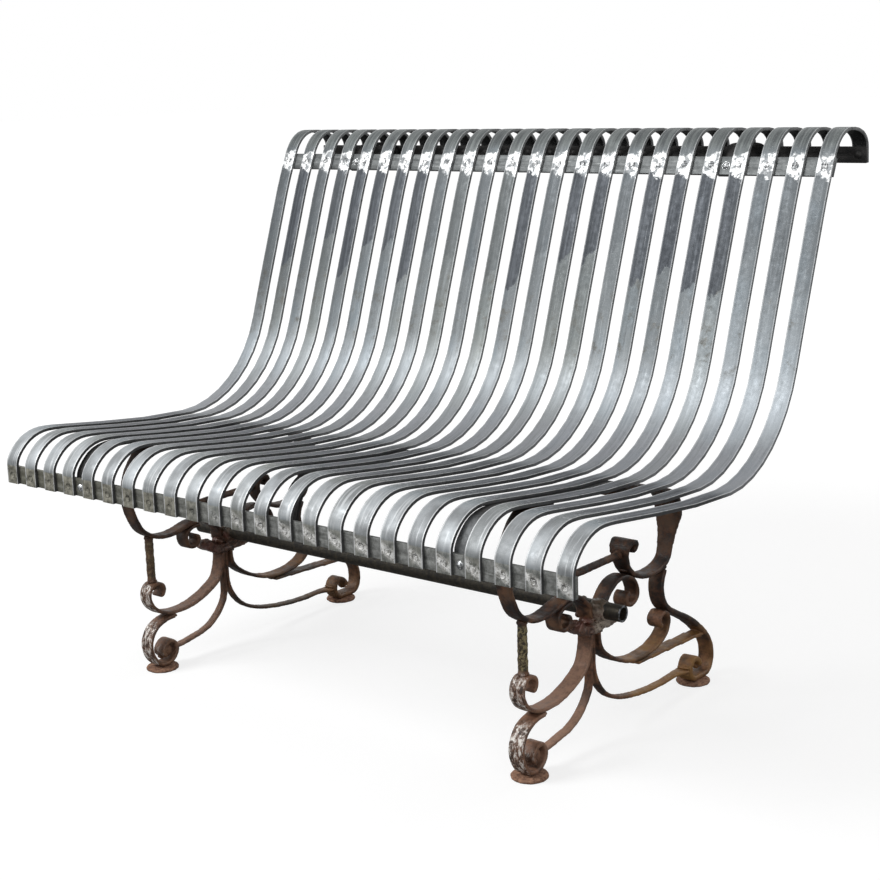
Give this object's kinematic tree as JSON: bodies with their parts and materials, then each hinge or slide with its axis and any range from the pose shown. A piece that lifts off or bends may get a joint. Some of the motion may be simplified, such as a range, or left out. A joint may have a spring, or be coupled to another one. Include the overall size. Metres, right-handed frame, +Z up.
{
  "type": "slatted metal garden bench",
  "caption": "Garden bench of narrow riveted steel slats that form the seat, the back and a rolled top, on two forged scroll legs joined by a tube.",
  "frame": {"origin": "on the floor, midway along the bench and midway between its front and back", "axes": "+X runs along the bench to a sitter's left, as seen from the front to the right; +Y runs from the front edge to the back; +Z is up"},
  "size_m": [1.1764, 0.8439, 0.9076],
  "materials": {
    "ground_steel": "bare flat bar, ground along its length, with tarnish and bright ground patches at the rivets",
    "rail_steel": "bare flat bar with a dull grey and olive tarnish",
    "rivet_steel": "rivet heads dressed flat and ground bright in front, round and dull behind",
    "dark_iron": "forged iron with scale, near black to dark brown",
    "rusty_iron": "forged iron with an even brown rust and rests of pale paint",
    "rusted_pads": "rough orange-brown rust"
  },
  "bodies": {
    "root": {"slat_01": "ground_steel", "slat_02": "ground_steel", "slat_03": "ground_steel", "slat_04": "ground_steel", "slat_05": "ground_steel", "slat_06": "ground_steel", "slat_07": "ground_steel", "slat_08": "ground_steel", "slat_09": "ground_steel", "slat_10": "ground_steel", "slat_11": "ground_steel", "slat_12": "ground_steel", "slat_13": "ground_steel", "slat_14": "ground_steel", "slat_15": "ground_steel", "slat_16": "ground_steel", "slat_17": "ground_steel", "slat_18": "ground_steel", "slat_19": "ground_steel", "slat_20": "ground_steel", "slat_21": "ground_steel", "slat_22": "ground_steel", "slat_23": "ground_steel", "slat_24": "ground_steel", "front_rail": "rail_steel", "top_front_rail": "rail_steel", "top_rear_rail": "dark_iron", "left_rib": "dark_iron", "middle_rib": "dark_iron", "right_rib": "dark_iron", "arch_straps": "dark_iron", "front_rivets": "rivet_steel", "top_rivets": "rivet_steel", "rear_rivets": "rivet_steel", "rib_rivets": "rivet_steel", "stretcher_tube": "dark_iron", "foot_pads": "rusted_pads", "posts": "rusty_iron", "tie_rods": "rusty_iron", "small_scrolls": "dark_iron", "rear_ties": "rusty_iron", "left_front_hook": "rusty_iron", "left_saddle": "dark_iron", "left_front_upper_brace": "rusty_iron", "left_front_lower_brace": "rusty_iron", "left_front_foot": "rusty_iron", "left_rear_upper_brace": "rusty_iron", "left_rear_lower_brace": "rusty_iron", "left_rear_leg": "rusty_iron", "left_rear_hook": "dark_iron", "right_front_hook": "rusty_iron", "right_saddle": "dark_iron", "right_front_upper_brace": "rusty_iron", "right_front_lower_brace": "rusty_iron", "right_front_foot": "rusty_iron", "right_rear_upper_brace": "rusty_iron", "right_rear_lower_brace": "rusty_iron", "right_rear_leg": "rusty_iron", "right_rear_hook": "dark_iron"}
  },
  "joints": []
}
